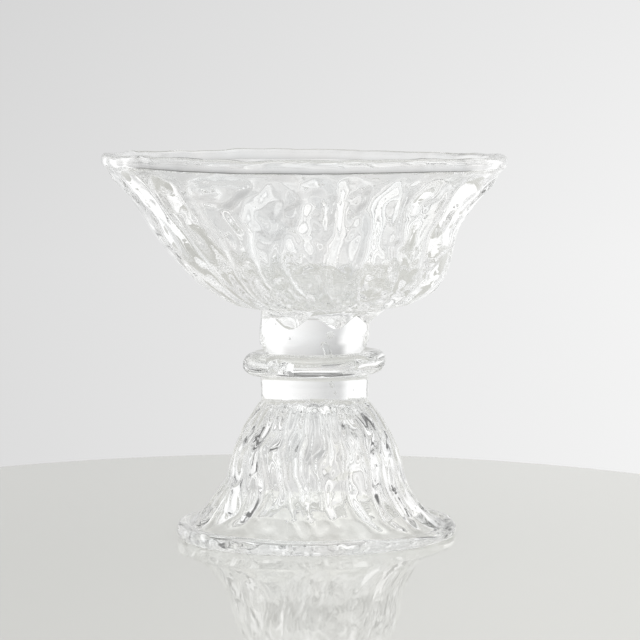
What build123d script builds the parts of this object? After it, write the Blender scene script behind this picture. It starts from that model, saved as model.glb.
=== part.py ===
# Footed bowl of clear hand-made glass for floating candles.
# Six pieces, stuck together hot, stand one on the other along Z. Millimetres, +Z up, the front is -Y.
# The origin is the middle of the flat ring that the foot stands on.
import os
from math import cos, pi, radians, sin, sqrt

from build123d import *

# Foot: a ribbed bell on a smooth flange, hollow below, with a solid neck on top
foot_diameter = 173.0  # over the wrap round the edge
foot_wrap_thickness = 9.0
foot_flat_width = 4.0  # the ground flat under the wrap
flange_radius = 68.0  # where the ribs start and the bell turns up
flange_rise = 17.0  # floor to that place
flange_edge = 5.0  # thickness of the flange inside the wrap
flange_land = 8.0  # from the middle of the wrap in to the mouth of the hollow
skirt_radius = 57.0  # the steep lower part of the bell
skirt_rise = 17.0
shoulder_radius = 49.5
shoulder_rise = 27.0
crown_radius = 39.0  # the bell close under its neck
crown_rise = 22.0
neck_diameter = 66.0  # the smooth neck above the ribs
crown_to_neck = 6.5
neck_length = 10.0
foot_wall = 6.0  # glass between the hollow and the foot of a rib groove
foot_roof = 8.0  # solid glass between the top of the hollow and the neck
foot_rib_depth = 2.2
bell_sag = 2.0  # the bell leans out to +X half way up

# Joint under the collar, and the knop above it
joint_diameter = 50.0
joint_rise = 8.0  # from the neck's upper edge to the joint
knop_diameter = 67.4
knop_length = 29.5
knop_round = 14.0  # height of the rounded lower edge
knop_top_diameter = 66.0

# Collar: one turn of a thick trail round the joint, with the tail where it was pulled off
collar_diameter = 87.5
collar_thickness = 14.0
collar_root = 9.0  # thickness where the trail sank into the joint
tail_length = 10.5
tail_thickness = 4.6
tail_place = -80.0  # degrees round Z from +X
tail_lean = 14.0  # degrees

# Bowl: blown in a ribbed mould, steep in its lower half, flared above, with a smooth band under the lip
rim_diameter = 250.0  # over the wrap on the lip
lip_wrap_thickness = 8.5
lip_wall = 4.6  # level thickness of the wall inside the wrap
bowl_seat_radius = 39.0  # underside that sits on the knop
turn_radius = 63.0  # where the underside turns up into the side
turn_rise = 10.0
belly_radius = 87.0
belly_rise = 28.5
waist_radius = 98.0  # where the side starts to flare
waist_rise = 20.0
band_radius = 115.0  # where the ribs end under the smooth band
band_rise = 24.0
band_wall = 7.8  # level thickness of the wall at that place
lip_rise = 12.0
bowl_wall = 4.5  # glass between the hollow and the foot of a rib groove
bowl_floor = 11.0
floor_radius = 20.0  # flat in the middle of the hollow
bowl_rib_depth = 2.8
low_shift = 6.5  # the bowl sags to +X at its foot and leans to -X at its rim
rim_shift = -4.5
rim_tilt = 1.0  # degrees about Y: the rim stands higher at -X

# Ribs, alike in number on the bowl and the foot because both were blown in one mould
rib_count = 22
rib_wander = 1.6  # degrees that a rib strays to either side
wander_rise = 16.0  # rise over which the straying turns by one radian
wander_waves = 3  # strays on the way round
rib_uneven = 0.3  # share by which the deep grooves pass the mean depth
uneven_waves = 5  # deep places on the way round
rib_fade = 0.15  # share of the ribbed height over which the ribs run out at either end
rib_step = 0.2  # ribbed glass stands back this much where it meets smooth glass
section_count = 9  # outlines that each blown form is drawn through

# Drips of the bowl's glass that hang over the top of the knop
drip_count = 9
drip_radius = 14.0
drip_uneven = 0.2  # share by which large and small drips differ from the mean
drip_proud = 1.6  # how far a drip stands out from the knop

# Heights that follow from the sizes above
foot_wrap_radius = foot_wrap_thickness / 2
foot_wrap_height = sqrt(foot_wrap_radius**2 - (foot_flat_width / 2) ** 2)
foot_ring_radius = foot_diameter / 2 - foot_wrap_radius
skirt_height = flange_rise + skirt_rise
shoulder_height = skirt_height + shoulder_rise
crown_height = shoulder_height + crown_rise
bell_height = crown_height + crown_to_neck
neck_height = bell_height + neck_length
joint_height = neck_height + joint_rise
seat_height = joint_height + knop_length
turn_height = seat_height + turn_rise
belly_height = turn_height + belly_rise
waist_height = belly_height + waist_rise
band_height = waist_height + band_rise
lip_ring_radius = rim_diameter / 2 - lip_wrap_thickness / 2

# Directions (radius, height) of the side where the ribs start on the flange and end under the smooth band
flange_slope = (skirt_radius - foot_ring_radius, skirt_height - foot_wrap_height)
band_slope = (lip_ring_radius - waist_radius, band_rise + lip_rise)


def ring(radius, depth, height):
    """One flat outline, ribbed to a depth. All have the same count of points, so that lofts stay even."""
    steps = 4 * rib_count
    points = []
    for step in range(steps):
        turn = 2 * pi * step / steps
        groove = 1 - abs(cos(rib_count * turn / 2))
        uneven = 1 + rib_uneven * sin(uneven_waves * turn)
        reach = radius - depth * uneven * groove
        angle = turn + radians(rib_wander) * sin(wander_waves * turn + height / wander_rise)
        points.append((reach * cos(angle), reach * sin(angle), 0.0))
    return Wire([Edge.make_spline(points, periodic=True, parameters=list(range(steps + 1)))])


def faded(share):
    """Rib depth up a ribbed side as a share of the full depth: the ribs run out at both ends."""
    return min(share / rib_fade, (1 - share) / rib_fade, 1.0)


def shares():
    """Even steps from 0 to 1, one for each outline of a blown form."""
    return [step / (section_count - 1) for step in range(section_count)]


def turned(*lines):
    """A closed outline drawn as (radius, height), turned about Z into a solid."""
    return revolve(Plane.XZ * make_face(lines), Axis.Z)


def wrap(ring_radius, thickness):
    """One level turn of a round trail of glass."""
    return revolve(Plane.XZ * Pos(ring_radius, 0) * Circle(thickness / 2), Axis.Z)


def eased(height, low, high):
    """A smooth share of the way between two heights."""
    share = min(max((height - low) / (high - low), 0.0), 1.0)
    return share * share * (3 - 2 * share)


def bowl_place(height):
    """Where the bowl's outline of this height lies: it sags at the foot, and the rim leans and tilts."""
    if height > band_height:
        return bowl_place(band_height) * Pos(0, 0, height - band_height)
    shift = low_shift + (rim_shift - low_shift) * eased(height, turn_height, waist_height)
    return Pos(shift, 0, height) * Rot(0, rim_tilt * eased(height, belly_height, band_height), 0)


def make_foot_wrap():
    trail = Pos(0, 0, foot_wrap_height) * wrap(foot_ring_radius, foot_wrap_thickness)
    below = Pos(0, 0, -foot_wrap_thickness / 2) * Cylinder(foot_diameter, foot_wrap_thickness)
    return trail - below


def make_flange():
    """The smooth part of the foot, from inside the wrap up to where the ribs start."""
    top = foot_wrap_height + flange_edge / 2
    bottom = foot_wrap_height - flange_edge / 2
    side = Spline((foot_ring_radius, top), (flange_radius, flange_rise), tangents=[(-1.0, 0.4), flange_slope])
    return turned(
        Line((0, bottom), (foot_ring_radius, bottom)),
        Line((foot_ring_radius, bottom), (foot_ring_radius, top)),
        side,
        Line((flange_radius, flange_rise), (0, flange_rise)),
        Line((0, flange_rise), (0, bottom)),
    )


def make_bell():
    side = Spline(
        (flange_radius - rib_step, flange_rise),
        (skirt_radius, skirt_height),
        (shoulder_radius, shoulder_height),
        (crown_radius, crown_height),
        (neck_diameter / 2 - rib_step, bell_height),
        tangents=[flange_slope, (-0.8, 1.0)],
    )
    outlines = []
    for share in shares():
        place = side @ share
        outline = ring(place.X, foot_rib_depth * faded(share), place.Y)
        outlines.append(Pos(bell_sag * sin(pi * share), 0, place.Y) * outline)
    return Solid.make_loft(outlines)


def make_neck():
    """The foot's smooth neck, from the bell up to the joint under the collar."""
    half = neck_diameter / 2
    return turned(
        Line((0, bell_height), (half, bell_height)),
        Line((half, bell_height), (half, neck_height)),
        Line((half, neck_height), (joint_diameter / 2, joint_height)),
        Line((joint_diameter / 2, joint_height), (0, joint_height)),
        Line((0, joint_height), (0, bell_height)),
    )


def make_foot_hollow():
    inset = foot_wall + foot_rib_depth
    mouth_radius = foot_ring_radius - flange_land
    roof = bell_height - foot_roof
    curve = Spline(
        (mouth_radius, 0.0),
        (flange_radius - inset, flange_rise),
        (skirt_radius - inset, skirt_height),
        (shoulder_radius - inset, shoulder_height - inset),
        (crown_radius / 2, roof - inset / 2),
        (0.0, roof),
        tangents=[(-1.0, 1.0), (-1.0, 0.0)],
    )
    return turned(Line((0, 0), (mouth_radius, 0.0)), curve, Line((0.0, roof), (0, 0)))


def make_foot(neck):
    wrap_seat = Pos(0, 0, foot_wrap_height) * wrap(foot_ring_radius, foot_wrap_thickness)
    return (make_flange() - wrap_seat) + make_bell() + neck - make_foot_hollow()


def make_knop():
    half = knop_diameter / 2
    side = Spline(
        (joint_diameter / 2, joint_height),
        (half, joint_height + knop_round),
        (knop_top_diameter / 2, seat_height),
        tangents=[(1.0, 1.0), (-0.2, 1.0)],
    )
    return turned(
        Line((0, joint_height), (joint_diameter / 2, joint_height)),
        side,
        Line((knop_top_diameter / 2, seat_height), (0, seat_height)),
        Line((0, seat_height), (0, joint_height)),
    )


def make_collar(knop, neck):
    nose = Pos(collar_diameter / 2 - collar_thickness / 2, 0) * Circle(collar_thickness / 2)
    root = Pos(joint_diameter / 2, 0) * Circle(collar_root / 2)
    section = make_hull(nose.edges() + root.edges())
    trail = Pos(0, 0, joint_height) * revolve(Plane.XZ * section, Axis.Z)
    half = tail_thickness / 2
    side = Spline((half, 0), (0, tail_length), tangents=[(0, 1), (-1, 0)])
    drop = turned(Line((0, 0), (half, 0)), side, Line((0, tail_length), (0, 0)))
    tail_foot = Pos(knop_diameter / 2, 0, joint_height + collar_root / 2)
    tail = Rot(0, 0, tail_place) * tail_foot * Rot(tail_lean, 0, 0) * drop
    return trail + tail - [knop, neck]


def make_lip_wrap():
    return bowl_place(band_height + lip_rise) * wrap(lip_ring_radius, lip_wrap_thickness)


def make_ribbed_side():
    """The bowl's mould-blown glass up to the smooth band, still solid."""
    side = Spline(
        (bowl_seat_radius, seat_height),
        (turn_radius, turn_height),
        (belly_radius, belly_height),
        (waist_radius, waist_height),
        (band_radius - rib_step, band_height),
        tangents=[(1.0, 0.15), band_slope],
    )
    outlines = []
    for share in shares():
        place = side @ share
        outline = ring(place.X, bowl_rib_depth * faded(share), place.Y)
        outlines.append(bowl_place(place.Y) * outline)
    return Solid.make_loft(outlines)


def make_band():
    """The smooth band from the rib ends to the lip, still solid."""
    lip_radius = lip_ring_radius + lip_wall / 2
    side = Spline((band_radius, 0), (lip_radius, lip_rise), tangents=[band_slope, (1.0, 1.0)])
    band = turned(
        Line((0, 0), (band_radius, 0)),
        side,
        Line((lip_radius, lip_rise), (0, lip_rise)),
        Line((0, lip_rise), (0, 0)),
    )
    return bowl_place(band_height) * band


def make_drips(knop):
    drips = []
    for drip in range(drip_count):
        size = drip_radius * (1 + drip_uneven * sin(drip * drip))
        place = Pos(knop_top_diameter / 2 + drip_proud - size, 0, seat_height)
        drips.append(Rot(0, 0, 360 / drip_count * drip) * place * Sphere(size) - knop)
    return drips


def make_bowl_hollow():
    inset = bowl_wall + bowl_rib_depth
    floor = seat_height + bowl_floor
    lip_height = band_height + lip_rise
    curve = Spline(
        (floor_radius, floor),
        (turn_radius - inset, turn_height + inset),
        (belly_radius - inset, belly_height),
        (waist_radius - inset, waist_height),
        (band_radius - band_wall, band_height),
        (lip_ring_radius - lip_wall / 2, lip_height),
        tangents=[(1.0, 0.05), (1.0, 1.0)],
    )
    outlines = []
    for share in shares():
        place = curve @ share
        outlines.append(bowl_place(place.Y) * Wire.make_circle(place.X))
    outlines.append(bowl_place(lip_height + lip_wrap_thickness) * Wire.make_circle(lip_ring_radius))
    return Solid.make_loft(outlines)


def make_bowl(knop, lip_wrap):
    blown = make_ribbed_side() + make_band()
    return blown + make_drips(knop) - make_bowl_hollow() - lip_wrap


foot_wrap = make_foot_wrap()
foot_neck = make_neck()
foot = make_foot(foot_neck)
neck_knop = make_knop()
collar_wrap = make_collar(neck_knop, foot_neck)
lip_wrap = make_lip_wrap()
bowl = make_bowl(neck_knop, lip_wrap)

os.makedirs("parts", exist_ok=True)
export_step(bowl, "parts/bowl.step")
export_step(lip_wrap, "parts/lip_wrap.step")
export_step(neck_knop, "parts/neck_knop.step")
export_step(collar_wrap, "parts/collar_wrap.step")
export_step(foot, "parts/foot.step")
export_step(foot_wrap, "parts/foot_wrap.step")
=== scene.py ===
# Footed bowl of clear hand-made glass for floating candles: its looks, and a pale studio around it
import math
import random

import bmesh
import bpy
from mathutils import Matrix, Vector
from mathutils.bvhtree import BVHTree


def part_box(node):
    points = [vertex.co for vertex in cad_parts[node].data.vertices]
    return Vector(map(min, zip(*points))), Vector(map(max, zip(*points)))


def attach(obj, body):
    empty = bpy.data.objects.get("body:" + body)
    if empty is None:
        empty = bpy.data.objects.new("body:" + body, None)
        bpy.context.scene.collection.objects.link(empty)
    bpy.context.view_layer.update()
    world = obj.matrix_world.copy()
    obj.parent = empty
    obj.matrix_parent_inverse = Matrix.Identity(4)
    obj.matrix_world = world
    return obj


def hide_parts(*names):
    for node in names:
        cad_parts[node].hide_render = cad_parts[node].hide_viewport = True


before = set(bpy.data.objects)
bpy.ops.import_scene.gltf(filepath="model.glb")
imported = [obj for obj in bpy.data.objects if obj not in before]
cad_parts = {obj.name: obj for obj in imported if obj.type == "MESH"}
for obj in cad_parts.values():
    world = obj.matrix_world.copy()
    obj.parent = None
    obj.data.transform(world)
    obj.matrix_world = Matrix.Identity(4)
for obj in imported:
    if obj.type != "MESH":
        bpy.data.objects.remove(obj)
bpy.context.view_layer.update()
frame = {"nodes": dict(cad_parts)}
mm = 0.001
scene = bpy.context.scene
print("frame loaded:", ", ".join(frame["nodes"]))


# Camera: a long lens a little above the rim, tipped down, with a slight roll
camera = {"lens": 165.9, "sensor": 36.0, "place": (0.00363, -1.816, 0.2824), "down": 4.69, "roll": -0.7}


def makeCamera():
    lens = bpy.data.cameras.new("camera")
    lens.lens = camera["lens"]
    lens.sensor_width = camera["sensor"]
    eye = bpy.data.objects.new("camera", lens)
    pitch = Matrix.Rotation(math.radians(90 - camera["down"]), 4, "X")
    roll = Matrix.Rotation(math.radians(camera["roll"]), 4, "Z")
    eye.matrix_world = Matrix.Translation(camera["place"]) @ pitch @ roll
    scene.collection.objects.link(eye)
    scene.camera = eye


makeCamera()
print("camera set")


# A value in a node tree, so that a formula reads as one
class nodeValue:
    def __init__(self, tree, socket):
        self.tree = tree
        self.socket = socket

    def math(self, operation, *others):
        node = self.tree.nodes.new("ShaderNodeMath")
        node.operation = operation
        for slot, value in zip(node.inputs, (self, *others)):
            if isinstance(value, nodeValue):
                self.tree.links.new(value.socket, slot)
            else:
                slot.default_value = value
        return nodeValue(self.tree, node.outputs[0])

    def __add__(self, other):
        return self.math("ADD", other)

    def __sub__(self, other):
        return self.math("SUBTRACT", other)

    def __rsub__(self, other):
        return self.math("MULTIPLY", -1.0).math("ADD", other)

    def __mul__(self, other):
        return self.math("MULTIPLY", other)

    def __truediv__(self, other):
        return self.math("DIVIDE", other)

    def eased(self, low, high, start=0.0, end=1.0):
        node = self.tree.nodes.new("ShaderNodeMapRange")
        node.interpolation_type = "SMOOTHSTEP"
        self.tree.links.new(self.socket, node.inputs["Value"])
        for name, number in (("From Min", low), ("From Max", high), ("To Min", start), ("To Max", end)):
            node.inputs[name].default_value = number
        return nodeValue(self.tree, node.outputs["Result"])

    def within(self, low, high, soft):
        return self.eased(low - soft, low + soft) * self.eased(high - soft, high + soft, 1.0, 0.0)

    def clamped(self, low, high):
        return self.math("MAXIMUM", low).math("MINIMUM", high)

    def mixed(self, other, share):
        return self + (self * -1.0 + other) * share


# Profiles: stretches of an outline (radius, height) in millimetres, with marks that run from end to end
markNames = (
    "ribs", "drip", "lump", "wrinkle", "crinkle", "flow", "shift", "tilt", "joint", "normalR", "normalZ",
)


def smoothLine(knots, rows):
    # a curve through the knots, its slopes weighted by the length of the spans beside each knot
    points = [Vector(k) for k in knots]
    spans = [(b - a).length for a, b in zip(points, points[1:])]
    slopes = [(b - a) / s for a, b, s in zip(points, points[1:], spans)]
    tangents = [slopes[0]]
    for before, after, left, right in zip(slopes, slopes[1:], spans, spans[1:]):
        tangents.append((before * right + after * left) / (left + right))
    tangents.append(slopes[-1])
    total = sum(spans)
    line = [points[0]]
    for i, span in enumerate(spans):
        count = max(1, round(rows * span / total))
        for step in range(1, count + 1):
            t = step / count
            keepStart = (1 + 2 * t) * (1 - t) ** 2
            keepEnd = t * t * (3 - 2 * t)
            leave = t * (1 - t) ** 2 * span
            arrive = t * t * (t - 1) * span
            between = points[i] * keepStart + points[i + 1] * keepEnd
            line.append(between + tangents[i] * leave + tangents[i + 1] * arrive)
    return line


def outline(piece, name):
    return smoothLine(piece[name], piece["rows"][name])


def arc(centre, radius, start, end, rows):
    angles = [math.radians(start + (end - start) * step / rows) for step in range(rows + 1)]
    return [Vector((centre[0] + radius * math.cos(a), centre[1] + radius * math.sin(a))) for a in angles]


def stretch(line, lean=None, fused=False, **marks):
    rows = []
    for i, (radius, height) in enumerate(line):
        share = i / (len(line) - 1)
        row = {name: 0.0 for name in markNames}
        for name, (start, end) in marks.items():
            row[name] = start + (end - start) * share
        if lean:
            row["shift"], row["tilt"] = lean(height, share)
        row["joint"] = 1.0 if fused else 0.0
        row["place"] = (radius, height)
        rows.append(row)
    return rows


def riseAndFall(line, middle, lean=None, **peaks):
    # marks that grow from nothing to their peak at the middle row and die away again
    rising = {name: (0, peak) for name, peak in peaks.items()}
    falling = {name: (peak, 0) for name, peak in peaks.items()}
    return [stretch(line[:middle + 1], lean, **rising), stretch(line[middle:], lean, **falling)]


def profileMesh(name, stretches):
    # one vertex for each row; a stretch starts where the one before it ended
    rows = stretches[0]
    for part in stretches[1:]:
        rows[-1]["joint"] = min(rows[-1]["joint"], part[0]["joint"])
        rows += part[1:]
    places = [Vector(row["place"]) for row in rows]
    mesh = bpy.data.meshes.new(name)
    mesh.from_pydata([(p.x * mm, 0, p.y * mm) for p in places], [], [])
    for i, row in enumerate(rows):
        along = places[min(i + 1, len(rows) - 1)] - places[max(i - 1, 0)]
        along.normalize()
        row["normalR"], row["normalZ"] = along.y, -along.x
    for mark in markNames:
        values = mesh.attributes.new(mark, "FLOAT", "POINT")
        values.data.foreach_set("value", [row[mark] for row in rows])
    return mesh


# The tree that turns a profile into glass: ribs, drips, wrinkles, lean and the small faults of hand work
turnedInputs = (
    ("Columns", "NodeSocketInt", 384),
    ("Rib Count", "NodeSocketFloat", 22.0),
    ("Rib Height", "NodeSocketFloat", 0.0034),
    ("Rib Low End", "NodeSocketFloat", -1.0),
    ("Rib High End", "NodeSocketFloat", 1.0),
    ("Rib End Spread", "NodeSocketFloat", 0.004),
    ("Rib Wander", "NodeSocketFloat", 0.55),
    ("Rib Wander Scale", "NodeSocketFloat", 14.0),
    ("Rib Kink", "NodeSocketFloat", 0.22),
    ("Rib Kink Scale", "NodeSocketFloat", 42.0),
    ("Rib Width", "NodeSocketFloat", 0.95),
    ("Drip Count", "NodeSocketFloat", 7.0),
    ("Drip Length", "NodeSocketFloat", 0.007),
    ("Drip Turn", "NodeSocketFloat", 1.134),
    ("Wobble", "NodeSocketFloat", 0.0016),
    ("Wobble Scale", "NodeSocketFloat", 16.0),
    ("Lump", "NodeSocketFloat", 0.004),
    ("Lump Scale", "NodeSocketFloat", 30.0),
    ("Wrinkle", "NodeSocketFloat", 0.0012),
    ("Wrinkle Scale", "NodeSocketFloat", 70.0),
    ("Crinkle", "NodeSocketFloat", 0.0006),
    ("Crinkle Scale", "NodeSocketFloat", 140.0),
    ("Patch Scale", "NodeSocketFloat", 45.0),
    ("Flow", "NodeSocketFloat", 0.0006),
    ("Flow Scale", "NodeSocketFloat", 80.0),
    ("Swell", "NodeSocketFloat", 0.3),
    ("Swell Scale", "NodeSocketFloat", 1.2),
    ("Seed", "NodeSocketInt", 3),
    ("Glass", "NodeSocketMaterial", None),
    ("Joint", "NodeSocketMaterial", None),
)
# what all pieces have alike; heights and the weld are in metres
handWork = {
    "seedStep": 7.3,  # how far the noise moves on for each seed
    "ribLuck": 0.25,  # share by which the ribs' heights differ
    "ribFlank": 0.9,  # 1 is a rib that slopes right to its middle
    "patchEdges": (0.46, 0.62),  # noise levels where crinkles start and where they are full
    "flowDraw": 0.25,  # flow lines are drawn out four times along the height
    "dripLuck": 0.5,
    "swellSeed": 4.0,
    "swellLean": 0.4,  # the foot's edge is lower towards +X
    "swellHeights": (0.012, 0.045),  # the swell dies away between them
    "calmHeight": 0.02,  # the wobble grows from nothing to this height, so the foot stands flat
    "weld": 0.000004,
    "crease": 42,  # degrees
}


def makeTurnedTree():
    tree = bpy.data.node_groups.new("turned glass", "GeometryNodeTree")
    tree.interface.new_socket("Geometry", in_out="INPUT", socket_type="NodeSocketGeometry")
    for name, kind, value in turnedInputs:
        socket = tree.interface.new_socket(name, in_out="INPUT", socket_type=kind)
        if value is not None:
            socket.default_value = value
    tree.interface.new_socket("Geometry", in_out="OUTPUT", socket_type="NodeSocketGeometry")
    nodes, links = tree.nodes, tree.links
    given = nodes.new("NodeGroupInput")
    result = nodes.new("NodeGroupOutput")

    def value(name):
        return nodeValue(tree, given.outputs[name])

    def join(node, **inputs):
        for name, source in inputs.items():
            slot = node.inputs[name.replace("_", " ")]
            if isinstance(source, nodeValue):
                links.new(source.socket, slot)
            elif isinstance(source, bpy.types.NodeSocket):
                links.new(source, slot)
            else:
                slot.default_value = source
        return node

    # a sheet with one row for each profile point and one column for each step round
    size = nodes.new("GeometryNodeAttributeDomainSize")
    links.new(given.outputs["Geometry"], size.inputs["Geometry"])
    rows = nodeValue(tree, size.outputs["Point Count"])
    grid = nodes.new("GeometryNodeMeshGrid")
    join(grid, Vertices_X=value("Columns") + 1.0, Vertices_Y=rows)
    index = nodeValue(tree, nodes.new("GeometryNodeInputIndex").outputs[0])
    column = (index / rows).math("FLOOR")
    row = index - column * rows
    turn = column / value("Columns")

    def sampled(field, kind):
        node = nodes.new("GeometryNodeSampleIndex")
        node.data_type = kind
        links.new(given.outputs["Geometry"], node.inputs["Geometry"])
        links.new(field, node.inputs["Value"])
        links.new(row.socket, node.inputs["Index"])
        return node.outputs[0]

    def mark(name):
        node = nodes.new("GeometryNodeInputNamedAttribute")
        node.data_type = "FLOAT"
        node.inputs["Name"].default_value = name
        return nodeValue(tree, sampled(node.outputs["Attribute"], "FLOAT"))

    here = nodes.new("ShaderNodeSeparateXYZ")
    links.new(sampled(nodes.new("GeometryNodeInputPosition").outputs[0], "FLOAT_VECTOR"), here.inputs[0])
    radius = nodeValue(tree, here.outputs["X"])
    height = nodeValue(tree, here.outputs["Z"])
    angle = turn * (2 * math.pi)
    cosine, sine = angle.math("COSINE"), angle.math("SINE")

    def vector(x, y, z):
        return join(nodes.new("ShaderNodeCombineXYZ"), X=x, Y=y, Z=z).outputs[0]

    plain = vector(radius * cosine, radius * sine, height)  # the turned form before any fault

    def noise(place, scale, detail, seed, output):
        node = nodes.new("ShaderNodeTexNoise")
        node.noise_dimensions = "4D"
        links.new(place, node.inputs["Vector"])
        join(node, W=seed, Scale=scale, Detail=detail)
        return node.outputs[output]

    def relief(place, scale, detail, seed):
        return (nodeValue(tree, noise(place, scale, detail, seed, 0)) - 0.5) * 2.0

    # ribs: fingers with rounded ends, uneven in place and length
    chanceSeed = value("Seed") * handWork["seedStep"]
    stray = relief(plain, value("Rib Wander Scale"), 1.0, chanceSeed)
    phase = turn * value("Rib Count") + stray * value("Rib Wander") * 2.0
    phase = phase + relief(plain, value("Rib Kink Scale"), 1.0, chanceSeed) * value("Rib Kink")
    ribIndex = phase.math("FLOOR").math("FLOORED_MODULO", value("Rib Count"))
    across = (phase - phase.math("FLOOR") - 0.5) * 2.0 / value("Rib Width")
    chance = nodes.new("FunctionNodeRandomValue")  # from -1 to 1 for each rib
    chance.data_type = "FLOAT"
    for slot in chance.inputs:
        if slot.identifier == "ID":
            links.new(ribIndex.socket, slot)
        elif slot.identifier == "Seed":
            links.new(given.outputs["Seed"], slot)
        elif slot.identifier == "Min_001":
            slot.default_value = -1.0
    luck = nodeValue(tree, next(s for s in chance.outputs if s.identifier == "Value_001"))
    halfWidth = radius * math.pi / value("Rib Count") * value("Rib Width")
    endShift = luck * value("Rib End Spread")
    above = height - value("Rib High End") + endShift + halfWidth
    below = value("Rib Low End") + endShift + halfWidth - height
    past = above.math("MAXIMUM", below).math("MAXIMUM", 0.0) / halfWidth.math("MAXIMUM", 0.0001)
    finger = (1.0 - across * across - past * past).eased(0.0, handWork["ribFlank"])
    rise = finger * (luck * handWork["ribLuck"] + 1.0) * value("Rib Height") * mark("ribs")

    # wrinkles of the soft glass, and lines that run with the flow of it
    drawnOut = vector(radius * cosine, radius * sine, height * handWork["flowDraw"])
    rise = rise + relief(plain, value("Wrinkle Scale"), 0.0, chanceSeed) * value("Wrinkle") * mark("wrinkle")
    rise = rise + relief(plain, value("Lump Scale"), 0.0, chanceSeed) * value("Lump") * mark("lump")
    patch = nodeValue(tree, noise(plain, value("Patch Scale"), 0.0, chanceSeed, 0))
    crinkle = relief(plain, value("Crinkle Scale"), 0.0, chanceSeed) * value("Crinkle") * mark("crinkle")
    rise = rise + crinkle * patch.eased(*handWork["patchEdges"])  # in patches, with calm glass between them
    rise = rise + relief(drawnOut, value("Flow Scale"), 1.0, chanceSeed) * value("Flow") * mark("flow")

    # drips round the top of the knop
    hang = ((angle + value("Drip Turn")) * value("Drip Count")).math("COSINE") * 0.5 + 0.5
    hang = hang * (stray * handWork["dripLuck"] + 1.0) * value("Drip Length") * mark("drip")

    # lean, then wobble of the whole
    reach = radius + rise * mark("normalR")
    x = reach * cosine
    y = reach * sine
    around = vector(cosine, sine, 0.0)
    swell = relief(around, value("Swell Scale"), 1.0, handWork["swellSeed"]) - cosine * handWork["swellLean"]
    swell = swell * value("Swell") * height.eased(*handWork["swellHeights"], 1.0, 0.0)
    z = height * (swell + 1.0) + rise * mark("normalZ") - hang - x * mark("tilt")
    drawn = vector(x + mark("shift"), y, z)

    def combined(operation, first, second):
        node = nodes.new("ShaderNodeVectorMath")
        node.operation = operation
        links.new(first, node.inputs[0])
        if operation == "SCALE":
            links.new(second.socket, node.inputs["Scale"])
        elif isinstance(second, tuple):
            node.inputs[1].default_value = second
        else:
            links.new(second, node.inputs[1])
        return node.outputs[0]

    freedom = (height / handWork["calmHeight"]).math("MINIMUM", 1.0).math("MAXIMUM", 0.0)
    sway = noise(plain, value("Wobble Scale"), 1.0, 0.0, "Color")  # alike in all pieces: joints stay closed
    sway = combined("SUBTRACT", sway, (0.5, 0.5, 0.5))
    moved = combined("ADD", drawn, combined("SCALE", sway, value("Wobble") * 2.0 * freedom))

    # the sheet takes this shape, is welded along its seam and gets its two materials
    placed = join(nodes.new("GeometryNodeSetPosition"), Geometry=grid.outputs["Mesh"], Position=moved)
    fused = nodes.new("GeometryNodeStoreNamedAttribute")
    fused.data_type = "FLOAT"
    join(fused, Geometry=placed.outputs[0], Name="fused", Value=mark("joint"))
    welded = nodes.new("GeometryNodeMergeByDistance")
    join(welded, Geometry=fused.outputs[0], Distance=handWork["weld"])
    smooth = join(nodes.new("GeometryNodeSetShadeSmooth"), Geometry=welded.outputs[0])
    creased = nodes.new("GeometryNodeSetShadeSmooth")
    creased.domain = "EDGE"
    bend = nodeValue(tree, nodes.new("GeometryNodeInputMeshEdgeAngle").outputs["Unsigned Angle"])
    sharp = bend.math("GREATER_THAN", math.radians(handWork["crease"]))
    join(creased, Geometry=smooth.outputs[0], Selection=sharp, Shade_Smooth=False)
    real = join(nodes.new("GeometryNodeRealizeInstances"), Geometry=creased.outputs[0])
    clear = nodes.new("GeometryNodeSetMaterial")
    join(clear, Geometry=real.outputs[0], Material=given.outputs["Glass"])
    touching = nodes.new("GeometryNodeInputNamedAttribute")
    touching.data_type = "FLOAT"
    touching.inputs["Name"].default_value = "fused"
    hidden = nodeValue(tree, touching.outputs["Attribute"]).math("GREATER_THAN", 0.99)  # fused all round
    final = nodes.new("GeometryNodeSetMaterial")
    join(final, Geometry=clear.outputs[0], Selection=hidden, Material=given.outputs["Joint"])
    links.new(final.outputs[0], result.inputs[0])
    return tree


def addNodes(thing, tree, inputs):
    tool = thing.modifiers.new(tree.name, "NODES")
    tool.node_group = tree
    for socket in tree.interface.items_tree:
        if socket.in_out == "INPUT" and socket.name in inputs:
            tool[socket.identifier] = inputs[socket.name]
    return tool


def plainMesh(thing):
    return bpy.data.meshes.new_from_object(thing.evaluated_get(bpy.context.evaluated_depsgraph_get()))


def signedVolume(mesh):
    solid = bmesh.new()
    solid.from_mesh(mesh)
    volume = solid.calc_volume(signed=True)
    solid.free()
    return volume


def turnGlass(name, profile, inputs):
    piece = bpy.data.objects.new(name, profile)
    scene.collection.objects.link(piece)
    tool = addNodes(piece, turnedTree, inputs)
    mesh = plainMesh(piece)
    piece.modifiers.remove(tool)
    piece.data = mesh
    bpy.data.meshes.remove(profile)
    if signedVolume(mesh) < 0:
        mesh.flip_normals()
    return piece


# Bubbles: hollow balls inside the glass, their faces turned inwards
bubbleLook = {
    "roundness": 2,
    "cover": 1.2,  # least way from a bubble's middle to the skin, in half lengths
    "long": (1.0, 1.6),
    "rarity": 3,  # the higher, the fewer large ones
}


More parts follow.
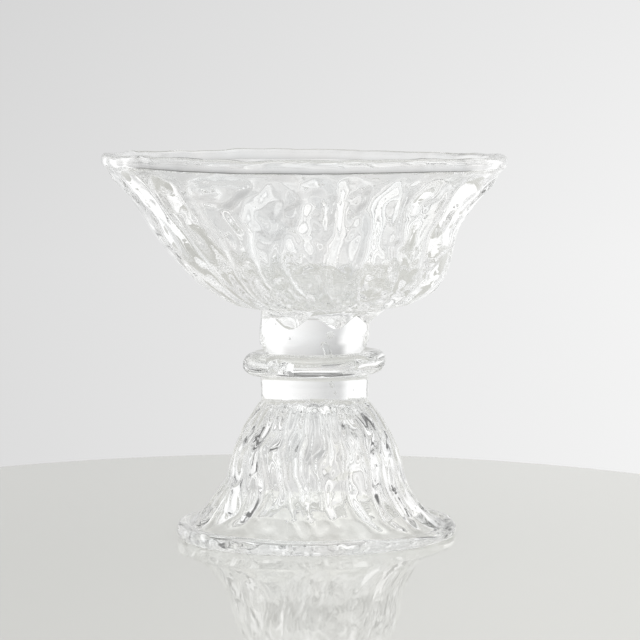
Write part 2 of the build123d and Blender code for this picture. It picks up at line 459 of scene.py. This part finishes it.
def makeBubbleTree():
    tree = bpy.data.node_groups.new("bubbles", "GeometryNodeTree")
    tree.interface.new_socket("Geometry", in_out="INPUT", socket_type="NodeSocketGeometry")
    tree.interface.new_socket("Roundness", in_out="INPUT", socket_type="NodeSocketInt")
    tree.interface.new_socket("Glass", in_out="INPUT", socket_type="NodeSocketMaterial")
    tree.interface.new_socket("Geometry", in_out="OUTPUT", socket_type="NodeSocketGeometry")
    nodes, links = tree.nodes, tree.links
    given = nodes.new("NodeGroupInput")
    result = nodes.new("NodeGroupOutput")
    ball = nodes.new("GeometryNodeMeshIcoSphere")
    links.new(given.outputs["Roundness"], ball.inputs["Subdivisions"])
    size = nodes.new("GeometryNodeInputNamedAttribute")
    size.data_type = "FLOAT_VECTOR"
    size.inputs["Name"].default_value = "size"
    spread = nodes.new("GeometryNodeInstanceOnPoints")
    links.new(given.outputs["Geometry"], spread.inputs["Points"])
    links.new(ball.outputs["Mesh"], spread.inputs["Instance"])
    links.new(size.outputs["Attribute"], spread.inputs["Scale"])
    last = spread.outputs[0]
    for kind in ("GeometryNodeRealizeInstances", "GeometryNodeFlipFaces", "GeometryNodeSetShadeSmooth"):
        step = nodes.new(kind)
        links.new(last, step.inputs[0])
        last = step.outputs[0]
    coat = nodes.new("GeometryNodeSetMaterial")
    links.new(last, coat.inputs["Geometry"])
    links.new(given.outputs["Glass"], coat.inputs["Material"])
    links.new(coat.outputs[0], result.inputs[0])
    return tree


def addBubbles(piece, plan):
    # some where they are seen (a place near, depth, half width, length by width), the rest by chance
    mesh = piece.data
    skin = BVHTree.FromPolygons([v.co for v in mesh.vertices], [f.vertices for f in mesh.polygons])
    chance = random.Random(plan["seed"])
    centres, sizes = [], []

    def tryBubble(place, normal, depth, size, long):
        centre = place - normal * depth * mm
        spot, out, index, gap = skin.find_nearest(centre)
        if gap > size * long * mm * bubbleLook["cover"] and (centre - spot).dot(out) < 0:
            centres.append(centre)
            sizes.append(Vector((size, size, size * long)) * mm)

    for near, depth, size, long in plan["seen"]:
        spot, out, index, gap = skin.find_nearest(Vector(near) * mm)
        tryBubble(spot, out, depth, size, long)
    for attempt in range(plan["tries"]):
        face = mesh.polygons[chance.randrange(len(mesh.polygons))]
        depth = chance.uniform(*plan["depth"])
        size = plan["small"] + (plan["large"] - plan["small"]) * chance.random() ** bubbleLook["rarity"]
        tryBubble(face.center, face.normal, depth, size, chance.uniform(*bubbleLook["long"]))
    places = bpy.data.meshes.new("bubble places")
    places.from_pydata(centres, [], [])
    values = places.attributes.new("size", "FLOAT_VECTOR", "POINT")
    values.data.foreach_set("vector", [number for size in sizes for number in size])
    cloud = bpy.data.objects.new("bubbles", places)
    scene.collection.objects.link(cloud)
    addNodes(cloud, bubbleTree, {"Roundness": bubbleLook["roundness"], "Glass": mesh.materials[0]})
    hollows = plainMesh(cloud)
    bpy.data.objects.remove(cloud)
    bpy.data.meshes.remove(places)
    solid = bmesh.new()
    solid.from_mesh(mesh)
    solid.from_mesh(hollows)
    solid.to_mesh(mesh)
    solid.free()
    bpy.data.meshes.remove(hollows)
    print(piece.name, "has", len(centres), "bubbles")


def settle(piece, node):
    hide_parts(node)
    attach(piece, "root")
    print(piece.name, "made:", len(piece.data.polygons), "faces")


# Glass: cool and warm streaks in its tint, a breath of haze, and fine ripples frozen in its skin
glassLook = {
    "cool": (0.983, 0.991, 0.991, 1),
    "warm": (0.992, 0.989, 0.982, 1),
    "ior": 1.5,
    "warmEdges": (0.35, 0.65),  # streak levels between which cool turns to warm
    "hazeEdges": (0.5, 0.8),  # and between which haze sets in
    "rippleShare": 0.25,
}
blownSkin = {"streaks": 28.0, "ripples": 160.0, "stretch": 0.6, "chill": 1.0, "depth": 0.1, "haze": 0.004}
drawnSkin = {"streaks": 45.0, "ripples": 120.0, "stretch": 3.0, "chill": 0.0, "depth": 0.04, "haze": 0.004}
# level ripples where the mould chilled the glass
chillMarks = {"period": 2.6 * mm, "bend": 9.0, "edges": (0.5, 0.62), "share": 0.07}


def makeGlassFaults():
    group = bpy.data.node_groups.new("glass faults", "ShaderNodeTree")
    for name in ("Streaks", "Ripples", "Stretch", "Chill", "Haze"):
        group.interface.new_socket(name, in_out="INPUT", socket_type="NodeSocketFloat")
    group.interface.new_socket("Tint", in_out="OUTPUT", socket_type="NodeSocketColor")
    group.interface.new_socket("Haze", in_out="OUTPUT", socket_type="NodeSocketFloat")
    group.interface.new_socket("Ripple", in_out="OUTPUT", socket_type="NodeSocketFloat")
    nodes, links = group.nodes, group.links
    given = nodes.new("NodeGroupInput")
    result = nodes.new("NodeGroupOutput")
    place = nodes.new("ShaderNodeTexCoord").outputs["Object"]
    split = nodes.new("ShaderNodeSeparateXYZ")
    links.new(place, split.inputs[0])
    drawn = nodes.new("ShaderNodeCombineXYZ")  # the same place, its height stretched
    links.new(split.outputs["X"], drawn.inputs["X"])
    links.new(split.outputs["Y"], drawn.inputs["Y"])
    height = nodeValue(group, split.outputs["Z"]) * nodeValue(group, given.outputs["Stretch"])
    links.new(height.socket, drawn.inputs["Z"])

    def noise(scale, detail):
        node = nodes.new("ShaderNodeTexNoise")
        links.new(drawn.outputs[0], node.inputs["Vector"])
        links.new(given.outputs[scale], node.inputs["Scale"])
        node.inputs["Detail"].default_value = detail
        return nodeValue(group, node.outputs[0])

    streak = noise("Streaks", 3.0)
    tint = nodes.new("ShaderNodeMix")
    tint.data_type = "RGBA"
    links.new(streak.eased(*glassLook["warmEdges"]).socket, tint.inputs["Factor"])
    sockets = {slot.identifier: slot for slot in tint.inputs}
    sockets["A_Color"].default_value = glassLook["cool"]
    sockets["B_Color"].default_value = glassLook["warm"]
    links.new(next(s for s in tint.outputs if s.identifier == "Result_Color"), result.inputs["Tint"])
    haze = streak.eased(*glassLook["hazeEdges"]) * nodeValue(group, given.outputs["Haze"])
    links.new(haze.socket, result.inputs["Haze"])
    ripple = noise("Ripples", 1.0)
    level = nodeValue(group, split.outputs["Z"]) * (2 * math.pi / chillMarks["period"])
    wave = (level + streak * chillMarks["bend"]).math("SINE")
    chill = wave * ripple.eased(*chillMarks["edges"]) * nodeValue(group, given.outputs["Chill"])
    ripple = ripple * glassLook["rippleShare"] + chill * chillMarks["share"]
    links.new(ripple.socket, result.inputs["Ripple"])
    return group


def makeGlass(name, skin):
    material = bpy.data.materials.new(name)
    material.use_nodes = True
    nodes, links = material.node_tree.nodes, material.node_tree.links
    shader = nodes["Principled BSDF"]
    shader.inputs["Transmission Weight"].default_value = 1.0
    shader.inputs["Metallic"].default_value = 0.0
    shader.inputs["IOR"].default_value = glassLook["ior"]
    faults = nodes.new("ShaderNodeGroup")
    faults.node_tree = glassFaults
    for fault in ("streaks", "ripples", "stretch", "chill", "haze"):
        faults.inputs[fault.capitalize()].default_value = skin[fault]
    bump = nodes.new("ShaderNodeBump")
    bump.inputs["Strength"].default_value = 1.0
    bump.inputs["Distance"].default_value = skin["depth"] * mm
    links.new(faults.outputs["Ripple"], bump.inputs["Height"])
    links.new(bump.outputs["Normal"], shader.inputs["Normal"])
    links.new(faults.outputs["Tint"], shader.inputs["Base Color"])
    links.new(faults.outputs["Haze"], shader.inputs["Roughness"])
    return material


def makeJoint():
    # where two pieces have run together, light passes as through one body
    material = bpy.data.materials.new("fused joint")
    material.use_nodes = True
    material.node_tree.nodes["Principled BSDF"].inputs["Alpha"].default_value = 0.0
    return material


glassFaults = makeGlassFaults()
blownGlass = makeGlass("blown glass", blownSkin)
drawnGlass = makeGlass("drawn glass", drawnSkin)
fusedJoint = makeJoint()
turnedTree = makeTurnedTree()
bubbleTree = makeBubbleTree()
blown = {"Glass": blownGlass, "Joint": fusedJoint}
drawn = {"Glass": drawnGlass, "Joint": fusedJoint}
print("glass mixed")

# Places that the pieces share, radius and height in millimetres; the knop's ends come from the frame
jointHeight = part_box("neck_knop")[0][2] / mm
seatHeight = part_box("neck_knop")[1][2] / mm
jointRadius = 25.0
seatRadius = 33.0
jointFace = [(0, jointHeight), (jointRadius, jointHeight)]  # the knop on the foot's neck
seatFace = [(0, seatHeight), (seatRadius, seatHeight)]  # the bowl on the knop
jointRows = 6
seatRows = 8
collarLow = (31.2, jointHeight - 6.2)
collarSeat = (28.0, 110.4)
collarHigh = (28.8, jointHeight + 5.5)

# The two beads: the middle of the ring, half its thickness, and the angles where it meets the wall
lip = {
    "ring": (120.75, 231.5),
    "half": 4.25,
    "outer": -55.0,
    "inner": -156.4,
    "rows": 48,
    "faults": {"wrinkle": 1.0, "crinkle": 1.0},
}
footWrap = {
    "ring": (82.0, 4.03),
    "half": 4.5,
    "outer": 129.0,
    "inner": 213.7,
    "rows": {"inner": 8, "flat": 4, "outer": 36},
    "faults": {"wrinkle": 0.4, "lump": 0.35},
}
beadSquareness = 2.8  # 2 is round


def onBead(bead, angle):
    a = math.radians(angle)
    c, s = math.cos(a), math.sin(a)
    power = 2 / beadSquareness
    return (
        bead["ring"][0] + bead["half"] * math.copysign(abs(c) ** power, c),
        bead["ring"][1] + bead["half"] * math.copysign(abs(s) ** power, s),
    )


def beadArc(bead, start, end, rows):
    return [onBead(bead, start + (end - start) * step / rows) for step in range(rows + 1)]


lipOut = onBead(lip, lip["outer"])
lipIn = onBead(lip, lip["inner"])
footOut = onBead(footWrap, footWrap["outer"])
footIn = onBead(footWrap, footWrap["inner"])

# The bowl sags to +X at its foot, leans to -X at its rim, and its rim tilts
bowlLean = {
    "low": 6.5,
    "rim": -4.5,
    "leanHeights": (147.0, 195.5),
    "tilt": math.radians(1.0),
    "tiltHeights": (175.5, 219.5),
}


def easedShare(value, low, high):
    share = min(max((value - low) / (high - low), 0.0), 1.0)
    return share * share * (3 - 2 * share)


def leanAt(height, share=1.0):
    # the share of the way along a stretch matters only to leanIn
    way = easedShare(height, *bowlLean["leanHeights"])
    shift = bowlLean["low"] + (bowlLean["rim"] - bowlLean["low"]) * way
    return shift * mm, bowlLean["tilt"] * easedShare(height, *bowlLean["tiltHeights"])


def leanIn(height, share):
    # from nothing on the knop to the bowl's own lean
    shift, tilt = leanAt(height)
    return shift * share, tilt


def leaning(line, **marks):
    return stretch(line, leanAt, **marks)


# Bowl: drips on the knop, ribs that end in arches under a smooth band, lumps and crinkles inside
bowl = {
    "drips": [(seatRadius, seatHeight), (35.4, 139), (39, 141)],
    "underside": [(39, 141), (46, 142.6), (55, 145.6)],
    "side": [
        (55, 145.6), (63, 149.6), (74, 158.5), (84.5, 175.5),
        (95, 195.5), (107, 212), (115.2, 220.5), lipOut,
    ],
    "inside": [
        lipIn, (107.2, 219.5), (90.7, 195.5), (79.7, 175.5),
        (55.7, 154.3), (38, 149.6), (20, 148), (0, 148),
    ],
    "rows": {"drips": 10, "underside": 14, "side": 110, "inside": 104},
    "ribEnd": 222.0,
    "lumpStart": 195.0,
    "floorStart": 165.0,
    "marks": {
        "drips": {"drip": (1, 0), "wrinkle": (0, 0.4)},
        "underside": {"ribs": (0, 0.5), "wrinkle": (0.4, 0.4), "crinkle": (0, 2)},
        "ribbed": {"ribs": (0.5, 1), "wrinkle": (0.4, 0.5), "crinkle": (2, 1), "flow": (0, 0.4)},
        "band": {"ribs": (1, 0), "wrinkle": (0.5, 0), "crinkle": (1, 0), "flow": (0.4, 0)},
        "mouth": {"ribs": (-0.3, -0.3), "wrinkle": (0, 0.5), "crinkle": (0, 2), "flow": (0, 0.6)},
        "hollow": {
            "ribs": (-0.3, 0), "lump": (0, 0.6), "wrinkle": (0.5, 0), "crinkle": (2, 0.5), "flow": (0.6, 0),
        },
        "floor": {"lump": (0.6, 0.4), "crinkle": (0.5, 0.5)},
    },
    "ribs": {"Rib High End": 0.2265, "Rib End Spread": 0.005},
    "bubbles": {
        "seen": [
            ((-15.7, -125, 224), 2.0, 1.1, 1.3),
            ((-5.5, -125, 221), 2.0, 1.2, 1.0),
            ((9, -125, 219), 2.0, 0.8, 1.2),
        ],
        "tries": 70, "depth": (1.2, 3.0), "small": 0.3, "large": 0.9, "seed": 11,
    },
}


def makeBowl():
    marks = bowl["marks"]
    side = outline(bowl, "side")
    inside = outline(bowl, "inside")
    bend = sum(height < bowl["ribEnd"] for radius, height in side)
    turn = sum(height > bowl["lumpStart"] for radius, height in inside)
    floor = sum(height > bowl["floorStart"] for radius, height in inside)
    profile = profileMesh("bowl", [
        stretch(smoothLine(seatFace, seatRows), fused=True, drip=(0, 1)),
        stretch(outline(bowl, "drips"), leanIn, **marks["drips"]),
        leaning(outline(bowl, "underside"), **marks["underside"]),
        leaning(side[:bend + 1], **marks["ribbed"]),
        leaning(side[bend:], **marks["band"]),
        leaning([lipOut, lipIn], fused=True),
        leaning(inside[:turn + 1], **marks["mouth"]),
        leaning(inside[turn:floor + 1], **marks["hollow"]),
        leaning(inside[floor:], **marks["floor"]),
    ])
    piece = turnGlass("bowl_glass", profile, {**blown, **bowl["ribs"]})
    addBubbles(piece, bowl["bubbles"])
    settle(piece, "bowl")


def makeLipWrap():
    bead = beadArc(lip, lip["outer"], 360 + lip["inner"], lip["rows"])
    profile = profileMesh("lip wrap", [
        *riseAndFall(bead, len(bead) // 2, leanAt, **lip["faults"]),
        leaning([lipIn, lipOut], fused=True),
    ])
    settle(turnGlass("lip_wrap_glass", profile, drawn), "lip_wrap")


# Knop: a smooth solid barrel, rounded in at its lower edge
knop = {
    "side": [collarHigh, (31.2, 117.4), (33.2, 122.5), (33.6, 128), (33.4, 132), (seatRadius, seatHeight)],
    "rows": {"side": 40},
    "bubbles": {
        "seen": [
            ((13.4, -40, 127.5), 4.5, 2.6, 0.9),
            ((16.5, -40, 131), 3.0, 1.1, 1.0),
            ((-22, -40, 125), 5.0, 0.6, 1.4),
        ],
        "tries": 8, "depth": (2.0, 9.0), "small": 0.3, "large": 0.8, "seed": 4,
    },
}


def makeKnop():
    profile = profileMesh("knop", [
        stretch(smoothLine(jointFace, jointRows), fused=True),
        stretch([jointFace[1], collarSeat, collarHigh], fused=True),
        stretch(outline(knop, "side"), drip=(0, 1)),
        stretch(smoothLine(seatFace[::-1], seatRows), fused=True, drip=(1, 0)),
    ])
    piece = turnGlass("neck_knop_glass", profile, drawn)
    addBubbles(piece, knop["bubbles"])
    settle(piece, "neck_knop")


# Collar: a trail wound once round the joint
collar = {
    "nose": (36.75, jointHeight),
    "half": 7.0,
    "from": -98.0,
    "to": 98.0,
    "rows": {"nose": 40, "flank": 5},
    "tilt": -0.028,
    "faults": {"wrinkle": 0.6, "crinkle": 0.15},
    # the tail where the trail was cut off: places and half thickness, from its root to its hooked tip
    "tail": [
        ((8.4, -37.0, 110.5), 3.0),
        ((8.7, -36.2, 114.2), 2.6),
        ((7.9, -35.6, 117.0), 2.3),
        ((7.0, -35.6, 119.4), 2.3),
        ((6.0, -36.2, 121.2), 2.4),
        ((5.0, -37.0, 121.4), 1.7),
    ],
}


def addTail(piece):
    trail = bpy.data.curves.new("tail", "CURVE")
    trail.dimensions = "3D"
    trail.bevel_depth = mm
    trail.bevel_resolution = 5
    trail.resolution_u = 8
    trail.use_fill_caps = True
    line = trail.splines.new("NURBS")
    line.points.add(len(collar["tail"]) - 1)
    for point, (place, thickness) in zip(line.points, collar["tail"]):
        point.co = (*(Vector(place) * mm), 1)
        point.radius = thickness
    line.order_u = 3
    line.use_endpoint_u = True
    drawnTail = bpy.data.objects.new("tail", trail)
    scene.collection.objects.link(drawnTail)
    rod = plainMesh(drawnTail)
    bpy.data.objects.remove(drawnTail)
    rod.materials.append(drawnGlass)
    for face in rod.polygons:
        face.use_smooth = True
    cutOff = bpy.data.objects.new("tail", rod)
    scene.collection.objects.link(cutOff)
    union = piece.modifiers.new("tail", "BOOLEAN")
    union.operation = "UNION"
    union.solver = "EXACT"
    union.object = cutOff
    mesh = plainMesh(piece)
    piece.modifiers.remove(union)
    piece.data = mesh
    bpy.data.objects.remove(cutOff)


def makeCollar():
    rows = collar["rows"]
    nose = arc(collar["nose"], collar["half"], collar["from"], collar["to"], rows["nose"])
    under = smoothLine([collarLow, nose[0]], rows["flank"])
    over = smoothLine([nose[-1], collarHigh], rows["flank"])
    ring = under + nose[1:] + over[1:]
    profile = profileMesh("collar", [
        *riseAndFall(ring, len(ring) // 2 - 1, tilt=collar["tilt"], **collar["faults"]),
        stretch([collarHigh, collarSeat, jointFace[1]], fused=True),
        stretch([jointFace[1], collarLow], fused=True),
    ])
    piece = turnGlass("collar_wrap_glass", profile, drawn)
    addTail(piece)
    settle(piece, "collar_wrap")


# Foot: a ribbed bell, hollow below, with a smooth solid neck
foot = {
    "hollow": [
        (0, 81.5), (10, 80.6), (19.5, 77.2), (32, 66), (41.3, 52.8),
        (48.8, 34), (59.8, 17), (71, 4), (74.4, 1.55), footIn,
    ],
    "flange": [footOut, (73, 10.8), (64.5, 17)],
    "bell": [(64.5, 17), (54, 33), (50.4, 48), (45.8, 61.5), (39.2, 74), (33.1, 82.5)],
    "neck": [(33.1, 82.5), (33, 92.5), (33, 98.5), collarLow],
    "rows": {"hollow": 110, "flange": 22, "bell": 80, "neck": 16},
    "marks": {
        "hollow": {"ribs": (-0.2, -0.2), "lump": (1, 0), "wrinkle": (0.4, 0), "flow": (0.5, 0)},
        "flange": {"ribs": (0.4, 1), "flow": (0, 0.5)},
        "flare": {"ribs": (1, 1), "wrinkle": (0.4, 1), "crinkle": (0, 2.2), "flow": (0.5, 0.4)},
        "shoulder": {"ribs": (1, 0.5), "wrinkle": (1, 0), "crinkle": (2.2, 0), "flow": (0.4, 0)},
    },
    "ribs": {
        "Rib Count": 24.0,
        "Rib Height": 0.0024,
        "Rib Low End": 0.009,
        "Rib High End": 0.084,
        "Rib End Spread": 0.004,
        "Rib Wander": 1.0,
        "Rib Kink": 0.6,
        "Seed": 5,
    },
    "bubbles": {
        "seen": [((13.9, -40, 95), 3.0, 1.6, 1.2), ((17, -40, 91), 2.5, 1.0, 1.0)],
        "tries": 60, "depth": (1.2, 3.0), "small": 0.3, "large": 0.9, "seed": 7,
    },
}


def makeFoot():
    marks = foot["marks"]
    bell = outline(foot, "bell")
    middle = len(bell) // 2 - 1
    profile = profileMesh("foot", [
        stretch(outline(foot, "hollow"), **marks["hollow"]),
        stretch([footIn, footOut], fused=True),
        stretch(outline(foot, "flange"), **marks["flange"]),
        stretch(bell[:middle + 1], **marks["flare"]),
        stretch(bell[middle:], **marks["shoulder"]),
        stretch(outline(foot, "neck")),
        stretch([collarLow, jointFace[1]], fused=True),
        stretch(smoothLine(jointFace[::-1], jointRows), fused=True),
    ])
    piece = turnGlass("foot_glass", profile, {**blown, **foot["ribs"]})
    addBubbles(piece, foot["bubbles"])
    settle(piece, "foot")


def makeFootWrap():
    # ground flat where it stands, at height 0
    rows = footWrap["rows"]
    depth = footWrap["ring"][1] / footWrap["half"]
    flatAngle = math.degrees(math.asin(depth ** (beadSquareness / 2)))
    inner = beadArc(footWrap, footWrap["inner"], 180 + flatAngle, rows["inner"])
    outer = beadArc(footWrap, 360 - flatAngle, 360 + footWrap["outer"], rows["outer"])
    profile = profileMesh("foot wrap", [
        stretch(inner),
        stretch(smoothLine([inner[-1], outer[0]], rows["flat"])),
        *riseAndFall(outer, len(outer) // 2, **footWrap["faults"]),
        stretch([footOut, footIn], fused=True),
    ])
    settle(turnGlass("foot_wrap_glass", profile, drawn), "foot_wrap")


makeBowl()
makeLipWrap()
makeKnop()
makeCollar()
makeFoot()
makeFootWrap()


# Studio: a pale oval table with painted shade and a painted glow, a wall that gets brighter to the right,
# white panels, dark cards and a pale room
studio = {
    "tableRadius": 0.80,
    "tableWidth": 0.625,  # of its depth
    "tableMiddle": (-0.05, -0.395),
    "tableThick": 0.03,
    "tableGap": 0.00015,  # the ground ring touches only here and there, so air lies under it
    "tableSteps": 180,
    "edge": 0.008,  # how far its edge is rounded
    "edgeSteps": 6,
    "tableColour": (0.68, 0.68, 0.645),
    "tablePaintedShade": (0.955, 1.075),  # painted shade: the table's colour is dimmer on the left and brighter on the right, as if lit from the right
    "paintedShadeReach": 0.2,  # how far the painted shade reaches to both sides of the bowl
    "tablePaintedGlow": 0.83,  # painted light: seen through the glass the table glows, as an emission, at this share of its colour
    "tableRoughness": 0.02,
    "wall": {
        "middle": 0.81, "slope": 0.785, "least": 0.70, "most": 1.08,
        "seen": 0.93,  # the most that the camera sees of it
        "half": 0.60, "soft": 0.02,  # angles to each side
    },
    "wallFade": {"from": -0.06, "rate": 0.8, "least": 0.62},  # dimmer higher up
    "room": (0.78, 1.04),  # low down and high up, beyond the wall
    "roomHeights": (0.25, 0.45),
    "even": 1.06,  # what the table scatters comes from all sides alike
    # panels to both sides: from and to, round from the wall; lower and upper edge; softness; brightness
    "panels": [
        (0.42, 1.22, -1.0, 0.30, 0.10, 1.12),
        (1.24, 1.42, -0.3, 0.40, 0.02, 0.3),
        (1.76, 1.94, -0.3, 0.40, 0.02, 0.3),
        (-1.0, 4.0, 0.75, 2.0, 0.012, 1.2),
        (-1.0, 4.0, 0.43, 0.59, 0.02, 0.18),
    ],
    "bounces": 40,  # light is passed on many times inside thick glass
}


def makeTable():
    radius, thick, edge, steps = (studio[size] for size in ("tableRadius", "tableThick", "edge", "edgeSteps"))
    quarter = [math.radians(90 * step / steps) for step in range(steps + 1)]
    roundEdge = [(radius - edge + edge * math.sin(a), -edge + edge * math.cos(a)) for a in quarter]
    section = [(0, 0), *roundEdge, (radius, -thick), (0, -thick)]
    solid = bmesh.new()
    points = [solid.verts.new((r, 0, z)) for r, z in section]
    edges = [solid.edges.new(pair) for pair in zip(points, points[1:])]
    bmesh.ops.spin(
        solid,
        geom=points + edges,
        cent=(0, 0, 0),
        axis=(0, 0, 1),
        angle=2 * math.pi,
        steps=studio["tableSteps"],
    )
    bmesh.ops.remove_doubles(solid, verts=solid.verts, dist=0.00001)
    bmesh.ops.recalc_face_normals(solid, faces=solid.faces)
    mesh = bpy.data.meshes.new("table")
    solid.to_mesh(mesh)
    solid.free()
    oval = Matrix.Diagonal((studio["tableWidth"], 1, 1, 1))
    mesh.transform(Matrix.Translation((*studio["tableMiddle"], -studio["tableGap"])) @ oval)
    for face in mesh.polygons:
        face.use_smooth = abs(face.normal.z) < 0.999
    table = bpy.data.objects.new("table", mesh)
    scene.collection.objects.link(table)
    mesh.materials.append(makeTableTop())


def makeTableTop():
    # seen through glass the table is a plain glowing tone of painted light, free of grain; its colour carries
    # a painted shade, dimmer on the left
    material = bpy.data.materials.new("pale table with painted glow and shade")
    material.use_nodes = True
    tree = material.node_tree
    nodes, links = tree.nodes, tree.links
    shader = nodes["Principled BSDF"]
    split = nodes.new("ShaderNodeSeparateXYZ")
    links.new(nodes.new("ShaderNodeTexCoord").outputs["Object"], split.inputs[0])
    reach = studio["paintedShadeReach"]
    # painted shade: the colour is dimmer to the left and brighter to the right
    level = nodeValue(tree, split.outputs["X"]).eased(-reach, reach, *studio["tablePaintedShade"])
    depth = nodes.new("ShaderNodeLightPath").outputs["Transmission Depth"]
    through = nodeValue(tree, depth).math("GREATER_THAN", 0.5)

    def tone(share):
        node = nodes.new("ShaderNodeCombineColor")
        for slot, value in zip(node.inputs, studio["tableColour"]):
            links.new((level * share * value).socket, slot)
        return node.outputs[0]

    # painted light: through the glass the table glows by emission instead of being lit
    links.new(tone(1.0 - through), shader.inputs["Base Color"])
    links.new(tone(through * studio["tablePaintedGlow"]), shader.inputs["Emission Color"])
    shader.inputs["Emission Strength"].default_value = 1.0
    shader.inputs["Roughness"].default_value = studio["tableRoughness"]
    shader.inputs["Specular IOR Level"].default_value = 0.5
    return material


def makeWorld():
    world = bpy.data.worlds.new("studio")
    scene.world = world
    world.use_nodes = True
    tree = world.node_tree
    nodes, links = tree.nodes, tree.links
    look = nodes.new("ShaderNodeTexCoord")
    split = nodes.new("ShaderNodeSeparateXYZ")
    links.new(look.outputs["Generated"], split.inputs[0])
    x, y, z = (nodeValue(tree, split.outputs[axis]) for axis in "XYZ")

    wall, fade = studio["wall"], studio["wallFade"]
    turn = x.math("ARCTAN2", y)
    side = turn.math("ABSOLUTE")  # angle away from the middle of the wall behind the bowl
    dimmer = (1.0 - (z - fade["from"]) * fade["rate"]).clamped(fade["least"], 1.0)
    seen = (x * wall["slope"] + wall["middle"]).clamped(wall["least"], wall["seen"]) * dimmer
    level = (turn * wall["slope"] + wall["middle"]).clamped(wall["least"], wall["most"]) * dimmer
    beyond = side.eased(wall["half"] - wall["soft"], wall["half"] + wall["soft"])
    level = level.mixed(z.eased(*studio["roomHeights"], *studio["room"]), beyond)
    for low, high, under, over, soft, tone in studio["panels"]:
        level = level.mixed(tone, side.within(low, high, soft) * z.within(under, over, soft))
    path = nodes.new("ShaderNodeLightPath")
    scattered = nodeValue(tree, path.outputs["Diffuse Depth"]).math("GREATER_THAN", 0.5)
    level = level.mixed(studio["even"], scattered)
    eye = nodeValue(tree, path.outputs["Is Camera Ray"])
    links.new(level.mixed(seen, eye).socket, nodes["Background"].inputs["Color"])


makeTable()
makeWorld()
scene.view_settings.view_transform = "Standard"
for kind in ("max_bounces", "transmission_bounces", "glossy_bounces", "transparent_max_bounces"):
    setattr(scene.cycles, kind, studio["bounces"])
scene.cycles.blur_glossy = 0.0  # or the table under the glass loses light
print("studio set")
